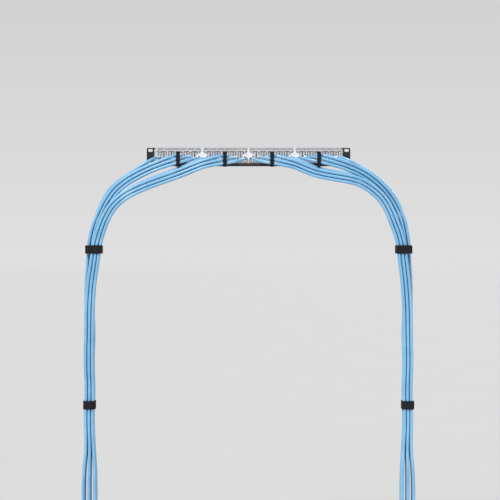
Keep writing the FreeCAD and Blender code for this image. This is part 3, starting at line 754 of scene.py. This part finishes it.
def cable_plug(name, end, node):
    """Shielded modular plug: metal shell, clear nose with eight gold blades, and its latch."""
    mesh = bpy.data.meshes.new(name)
    for finish in ("shield", "plug", "gold"):
        mesh.materials.append(FINISH[finish])
    top = end.z - BOOT_LENGTH
    half_x, half_y = PLUG_WIDTH / 2, PLUG_DEPTH / 2
    bm = bmesh.new()

    def finished(index, before):
        for face in bm.faces[:]:
            if face not in before:
                face.material_index = index

    shell_x = half_x - SPRING_PROUD
    add_box(bm, (end.x - shell_x, end.y - half_y, top - SHELL_LENGTH),
            (end.x + shell_x, end.y + half_y, top), 0.5)
    for side in (-1, 1):
        spring = end.x + side * shell_x
        add_box(bm, (spring - SPRING_PROUD, end.y - SPRING_HALF, top - 8.5),
                (spring + SPRING_PROUD, end.y + SPRING_HALF, top - 2.5), 0.1, 1)
    shell = set(bm.faces)
    nose_x = half_x - NOSE_INSET
    add_box(bm, (end.x - nose_x, end.y - half_y + 0.1, top - PLUG_LENGTH),
            (end.x + nose_x, end.y + half_y - 0.1, top - SHELL_LENGTH - 0.1), 0.6)
    add_box(bm, (end.x - LATCH_X, end.y + half_y - 1.1, top - PLUG_LENGTH + 0.8),
            (end.x + LATCH_X, end.y + half_y, top - 4.0), 0.25)
    finished(1, shell)
    clear = set(bm.faces)
    for k in range(CONTACTS):
        x = end.x + (k - (CONTACTS - 1) / 2) * CONTACT_PITCH
        add_box(bm, (x - BLADE_HALF, end.y - half_y + 0.02, top - PLUG_LENGTH + 0.4),
                (x + BLADE_HALF, end.y - half_y + 0.5, top - PLUG_LENGTH + 6.4), 0.06, 1)
    finished(2, clear)
    bm.normal_update()
    bm.to_mesh(mesh)
    bm.free()
    mesh.shade_smooth()
    mesh.set_sharp_from_angle(angle=math.radians(35))
    made = piece(name, mesh, "plug", PANEL)
    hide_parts(node)
    return made


def cables():
    """All the cables, each with its boot and plug."""
    for bundle in range(1, GROUPS + 1):
        side = "left" if outward(bundle) < 0 else "right"
        for rank in range(PORTS):
            points = cable_points(bundle, rank)
            tag = "%d_%d" % (bundle, rank + 1)
            line = cable_curve("cable_" + tag, points)
            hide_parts("cable_bundle_%d" % bundle)
            boot = cable_boot("boot_" + tag, points[-1], "boots_" + side)
            plug = cable_plug("plug_" + tag, points[-1], "plugs_" + side)
            runs = sum((b - a).length for a, b in zip(points, points[1:]))
            tuple(points[0] * MM)


# ---------------------------------------------------------------- ties and straps
def rounded_loop(half_u, half_v, radius):
    """Points and outward normals round a rounded rectangle, from the middle of its low-v side."""
    straight_u, straight_v = half_u - radius, half_v - radius
    marks = []

    def run(start, end, normal):
        count = max(1, round((end - start).length / LOOP_STEP))
        marks.extend((start.lerp(end, k / count), normal) for k in range(count))

    def turn(centre, first):
        count = max(3, round(radius * math.pi / LOOP_STEP))
        for k in range(count):
            angle = math.radians(first + 90 * k / count)
            normal = Vector((math.cos(angle), math.sin(angle)))
            marks.append((centre + normal * radius, normal))

    run(Vector((0, -half_v)), Vector((straight_u, -half_v)), Vector((0, -1)))
    turn(Vector((straight_u, -straight_v)), -90)
    run(Vector((half_u, -straight_v)), Vector((half_u, straight_v)), Vector((1, 0)))
    turn(Vector((straight_u, straight_v)), 0)
    run(Vector((straight_u, half_v)), Vector((-straight_u, half_v)), Vector((0, 1)))
    turn(Vector((-straight_u, straight_v)), 90)
    run(Vector((-half_u, straight_v)), Vector((-half_u, -straight_v)), Vector((-1, 0)))
    turn(Vector((-straight_u, -straight_v)), 180)
    run(Vector((-straight_u, -half_v)), Vector((0, -half_v)), Vector((0, -1)))
    return marks


def webbing_section(half_width, thick):
    """Cross-section of woven tape: a flat field between two slightly thicker selvedges."""
    edge, hem = 0.35, 1.1
    upper = [(half_width, 0.28), (half_width - edge, 0.5), (half_width - hem, 0.4), (0, 0.44),
             (hem - half_width, 0.4), (edge - half_width, 0.5), (-half_width, 0.28)]
    lower = [(-across, -share) for across, share in upper]
    return [(across, share * thick) for across, share in upper + lower]


def wrapped_strap(name, node, axis, wall, radius, thick, overlap):
    """Hook-and-loop strap wound once round its cables, with its tail closed over its start."""
    low, high = corners(node)
    u_axis, v_axis = [k for k in range(3) if k != axis]
    middle = (low + high) / 2
    half_u = (high - low)[u_axis] / 2 - wall
    half_v = (high - low)[v_axis] / 2 - wall
    if axis == 0:
        half_u, half_v, u_axis, v_axis = half_v, half_u, v_axis, u_axis
    marks = rounded_loop(half_u, half_v, radius)
    turns = marks + marks[:overlap]
    section = webbing_section((high - low)[axis] / 2, thick)
    bm = bmesh.new()
    rings = []
    for k, (point, normal) in enumerate(turns):
        rise = min(1.0, max(0.0, (k - len(marks) + CLIMB_STEPS) / CLIMB_STEPS))
        tail = max(0.0, (k - len(turns) + TAIL_STEPS) / TAIL_STEPS)
        lift = thick * (0.5 + 1.06 * rise * rise * (3 - 2 * rise)) + TAIL_LIFT * tail * tail
        narrow = 1 - TAIL_TAPER * tail * tail
        drift = TAPE_DRIFT * math.sin(k * TAPE_WAVE)
        ring = []
        for across, height in section:
            at = point + normal * (lift + height)
            place = middle.copy()
            place[u_axis] += at.x
            place[v_axis] += at.y
            place[axis] += across * narrow + drift
            ring.append(bm.verts.new(place * MM))
        rings.append(ring)
    for first, second in zip(rings, rings[1:]):
        for k in range(len(section)):
            n = (k + 1) % len(section)
            bm.faces.new([first[k], first[n], second[n], second[k]])
    bm.faces.new(rings[0])
    bm.faces.new(list(reversed(rings[-1])))
    bmesh.ops.recalc_face_normals(bm, faces=bm.faces)
    made = piece_from(name, bm, "webbing", PANEL)
    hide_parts(node)


def straps():
    """The ties run round the X axis, the straps round the hanging cables."""
    for bundle in range(1, GROUPS + 1):
        wrapped_strap("tie_band_%d" % bundle, "tie_%d" % bundle, 0, TIE_WALL, TIE_ROUND,
                      TIE_TAPE, TIE_OVERLAP)
    for side in ("left", "right"):
        for place in ("upper", "lower"):
            wrapped_strap("strap_band_%s_%s" % (place, side), "strap_%s_%s" % (place, side), 2,
                          STRAP_WALL, STRAP_ROUND, STRAP_TAPE, STRAP_OVERLAP)


# ---------------------------------------------------------------- print
def add_number(bm, number, size, place, facing):
    """A printed number centred on a place in mm; facing is 1 towards +Y, -1 towards -Y."""
    data = bpy.data.curves.new("number", "FONT")
    data.body = str(number)
    data.size = size * MM
    data.align_x = "CENTER"
    data.align_y = "CENTER"
    data.extrude = PRINT_THICK / 2 * MM
    data.resolution_u = 3
    source = bpy.data.objects.new("number", data)
    mesh = bpy.data.meshes.new_from_object(source)
    about = Matrix.Rotation(math.pi, 4, "Z") if facing > 0 else Matrix.Identity(4)
    mesh.transform(Matrix.Translation(Vector(place) * MM) @ about
                   @ Matrix.Rotation(math.pi / 2, 4, "X"))
    bm.from_mesh(mesh)
    bpy.data.objects.remove(source)
    bpy.data.curves.remove(data)
    bpy.data.meshes.remove(mesh)


def port_number(group, port):
    """Ports count from the left as seen from the front, which is from +X."""
    return (GROUPS - group) * PORTS + PORTS - port


def front_print(group):
    """Port numbers above the jacks, and ruled cells with their numbers on the label card."""
    bezel_high = corners("port_bezel_%d" % group)[1]
    nose_top = PORT_Z + NOSE_HEIGHT / 2
    height = (nose_top + bezel_high.z) / 2
    bm = bmesh.new()
    for port in range(PORTS):
        add_number(bm, port_number(group, port), PORT_NUMBER,
                   (port_x(group, port), bezel_high.y + PRINT_THICK / 2, height), 1)
    piece_from("port_numbers_%d" % group, bm, "white_ink", PANEL)
    card_low, card_high = corners("label_card_%d" % group)
    y, front = card_high.y, card_high.y + PRINT_THICK
    bm = bmesh.new()
    middle = (card_low.z + card_high.z) / 2
    left = card_low.x + CARD_MARGIN
    cell = (card_high.x - card_low.x - 2 * CARD_MARGIN) / PORTS
    line = cell * 0.36
    for k in range(PORTS):
        x = left + (k + 0.5) * cell
        add_number(bm, port_number(group, k), CARD_NUMBER, (x, y + PRINT_THICK / 2, middle + 1.2), 1)
        add_box(bm, (x - line, y, middle - 1.75), (x + line, front, middle - 1.6))
    for k in range(PORTS + 1):
        x = left + k * cell
        add_box(bm, (x - RULE_HALF, y, card_low.z + 0.7), (x + RULE_HALF, front, card_high.z - 0.7))
    for z in (card_low.z + 0.6, card_high.z - 0.6):
        add_box(bm, (card_low.x + 0.9, y, z - RULE_HALF), (card_high.x - 0.9, front, z + RULE_HALF))
    piece_from("card_print_%d" % group, bm, "ink", PANEL)


def rear_print(group):
    """Grey field on the white rear label, with a number and two short rules over each port."""
    low, high = corners("rear_label_%d" % group)
    bm = bmesh.new()
    add_box(bm, (low.x + REAR_BORDER, low.y - REAR_FIELD, low.z + REAR_BORDER),
            (high.x - REAR_BORDER, low.y, high.z - REAR_BORDER), 0.03, 1)
    piece_from("rear_field_%d" % group, bm, "rear_field", PANEL)
    bm = bmesh.new()
    back, front = low.y - REAR_FIELD - PRINT_THICK, low.y - REAR_FIELD
    middle = (low.z + high.z) / 2
    for port in range(PORTS):
        x = port_x(group, port)
        add_number(bm, port_number(group, port), REAR_NUMBER,
                   (x - REAR_NUMBER_X, (back + front) / 2, middle), -1)
        add_box(bm, (x + 0.6, back, middle - 1.9), (x + 7.0, front, middle - 1.6))
        add_box(bm, (x + 0.6, back, middle + 1.6), (x + 5.0, front, middle + 1.9))
    piece_from("rear_numbers_%d" % group, bm, "ink", PANEL)


# ---------------------------------------------------------------- jacks
def socket_contacts(group):
    """Eight gold spring wires in each socket, from its roof down to the contact carrier."""
    mouth = corners("jack_housings_%d" % group)[1].y
    carrier = corners("contact_blocks")[1].y
    bm = bmesh.new()
    for port in range(PORTS):
        for k in range(CONTACTS):
            x = port_x(group, port) + (k - (CONTACTS - 1) / 2) * CONTACT_PITCH
            step = 0.35 * (k % 2)
            add_tube(bm, [(x, carrier + 1.0, SOCKET_ROOF - 0.3), (x, mouth - 4.6, SOCKET_ROOF - 0.35),
                          (x, mouth - 3.4, SOCKET_ROOF - 0.6), (x, mouth - 2.9, SOCKET_ROOF - 1.1),
                          (x, mouth - 3.3, SOCKET_ROOF - 1.5),
                          (x, carrier + 2.4, SOCKET_ROOF - 3.5 - step),
                          (x, carrier - 0.2, SOCKET_ROOF - 3.7 - step)], CONTACT_WIRE, 6)
    piece_from("contact_springs_%d" % group, bm, "gold", PANEL, 60)


def shield_tongues(group):
    """Sprung shield tongues in the socket walls, and the contact comb under its roof."""
    mouth = corners("jack_housings_%d" % group)[1].y
    carrier = corners("contact_blocks")[1].y
    bm = bmesh.new()
    for port in range(PORTS):
        x = port_x(group, port)
        for side in (-1, 1):
            wall = x + side * SOCKET_WIDTH / 2
            for low in (SOCKET_ROOF - 2.7, SOCKET_ROOF - 5.7):
                add_box(bm, (wall - TONGUE, mouth - 7.0, low), (wall + TONGUE, mouth - 0.9, low + 1.6), 0.2)
    piece_from("shield_tongues_%d" % group, bm, "shield", PANEL)
    bm = bmesh.new()
    for port in range(PORTS):
        x = port_x(group, port)
        for k in range(CONTACTS + 1):
            rib = x + (k - CONTACTS / 2) * CONTACT_PITCH
            add_box(bm, (rib - COMB_RIB, carrier - 0.1, SOCKET_ROOF - 5.0),
                    (rib + COMB_RIB, carrier + 2.2, SOCKET_ROOF - 0.2), 0.06, 1)
    piece_from("contact_comb_%d" % group, bm, "block", PANEL)


def cap_sides(rim, dark, x, low, high):
    """Side hinges, slots in the sloping edges, and the two terminal windows of one cap; the slots and
    windows are thin dark sheets of painted shade, not holes.
    """
    back = low.y + COLLAR_LENGTH
    half_x = (high.x - low.x - (PORTS - 1) * PORT_PITCH) / 2
    for side in (-1, 1):
        face = x + side * half_x
        add_box(rim, (face - HINGE_PROUD, high.y - 6.6, PORT_Z - 4.2),
                (face + HINGE_PROUD, high.y - 1.4, PORT_Z + 4.2), 0.25)
        # painted shade: thin dark sheets for the slots beside each hinge
        for z in (PORT_Z - 6.6, PORT_Z + 4.9):
            add_box(dark, (face - SKIN, high.y - 5.4, z), (face + SKIN, high.y - 1.6, z + 1.7), 0.03, 1)
        # painted shade: thin dark sheets for the slots in the sloping edges
        slot_x, slot_y = x + side * SLOPE_X, back + CAP_CHAMFER / 2
        for z, tilt in ((high.z - CAP_CHAMFER / 2, 45), (low.z + CAP_CHAMFER / 2, -45)):
            add_box(dark, (slot_x - SLOPE_HALF, slot_y - 1.2, z - 0.07),
                    (slot_x + SLOPE_HALF, slot_y + 1.2, z + 0.07), 0.04, 1, tilt=tilt)
        # painted shade: a thin dark sheet for each terminal window
        window = x + side * WINDOW_X
        add_box(dark, (window - WINDOW_HALF, back - 0.06, WINDOW_LOW),
                (window + WINDOW_HALF, back + 0.1, WINDOW_HIGH), 0.05, 1)
        for edge in (window - WINDOW_HALF - 0.2, window + WINDOW_HALF + 0.2):
            add_box(rim, (edge - WINDOW_RIM, back - 0.45, WINDOW_LOW - 0.3),
                    (edge + WINDOW_RIM, back + 0.1, WINDOW_HIGH + 0.3), 0.15)
        add_tube(rim, [(window - 1.0, back - 0.1, WINDOW_HIGH - 0.4),
                       (window - 0.4, back - 0.5, WINDOW_HIGH - 1.6),
                       (window + 0.5, back - 0.5, WINDOW_LOW + 1.6),
                       (window + 1.0, back - 0.1, WINDOW_LOW + 0.4)], 0.32, 8)


def cap_latch(rim, dark, x, high):
    """Ribbed latch tongue on top of one cap, with a thin dark sheet of painted shade for its slot."""
    add_box(rim, (x - LATCH_HALF, high.y - 7.2, high.z - 0.1),
            (x + LATCH_HALF, high.y + 3.0, high.z + 0.35), 0.2)
    for k in range(3):
        y = high.y - 6.4 + k * 1.5
        add_box(rim, (x - LATCH_HALF + 0.3, y, high.z + 0.2),
                (x + LATCH_HALF - 0.3, y + 0.7, high.z + 0.6), 0.15)
    # painted shade: a thin dark sheet for the slot in the latch
    add_box(dark, (x - 1.5, high.y - 1.6, high.z + 0.3), (x + 1.5, high.y + 1.8, high.z + 0.42), 0.05, 1)


def cap_fittings(group):
    """Rear of the shield caps: rolled collar ribs, hinges, latches, and openings drawn as thin dark sheets
    of painted shade.
    """
    low, high = corners("jack_caps_%d" % group)
    rim = bmesh.new()
    dark = bmesh.new()
    for port in range(PORTS):
        x = port_x(group, port)
        for inset, wire in COLLAR_RIBS:
            add_ring(rim, (x, low.y + inset, PORT_Z), COLLAR_RADIUS, wire)
        cap_sides(rim, dark, x, low, high)
        cap_latch(rim, dark, x, high)
    piece_from("cap_rims_%d" % group, rim, "cap", PANEL)
    piece_from("cap_opening_shade_%d" % group, dark, "shadow", PANEL)


def cable_seals(group):
    """Black rubber seal where each cable enters its collar."""
    end = corners("jack_caps_%d" % group)[0].y
    bm = bmesh.new()
    for port in range(PORTS):
        x = port_x(group, port)
        add_ring(bm, (x, end, PORT_Z), 4.25, 0.5)
        add_ring(bm, (x, end - 0.7, PORT_Z), 4.0, 0.36)
    piece_from("cable_seals_%d" % group, bm, "seal", PANEL)


# ---------------------------------------------------------------- sheet metal fittings
def flange_rivets():
    """Domed rivets that hold the cheeks' flanges to the back of the plate."""
    bm = bmesh.new()
    for side in ("left", "right"):
        low, high = corners("side_bracket_" + side)
        x = low.x + RIVET_INSET if side == "left" else high.x - RIVET_INSET
        for z in RIVET_HEIGHTS:
            add_dome(bm, (x, -BRACKET_SHEET, z), RIVET_RADIUS, RIVET_RISE)
    piece_from("flange_rivets", bm, "screw", PANEL)


def add_dome(bm, centre, radius, height, sides=24):
    """A low dome standing towards -Y, in mm."""
    rings = []
    for share, rise in DOME:
        rings.append([bm.verts.new(Vector((
            centre[0] + radius * share * math.cos(2 * math.pi * n / sides),
            centre[1] - height * rise,
            centre[2] + radius * share * math.sin(2 * math.pi * n / sides))) * MM)
            for n in range(sides)])
    for low, high in zip(rings, rings[1:]):
        for n in range(sides):
            bm.faces.new([low[n], low[(n + 1) % sides], high[(n + 1) % sides], high[n]])
    bm.faces.new(rings[-1])
    bm.faces.new(list(reversed(rings[0])))


camera()
studio()
cables()
straps()
for group in range(1, GROUPS + 1):
    front_print(group)
    rear_print(group)
    socket_contacts(group)
    shield_tongues(group)
    cap_fittings(group)
    cable_seals(group)
flange_rivets()
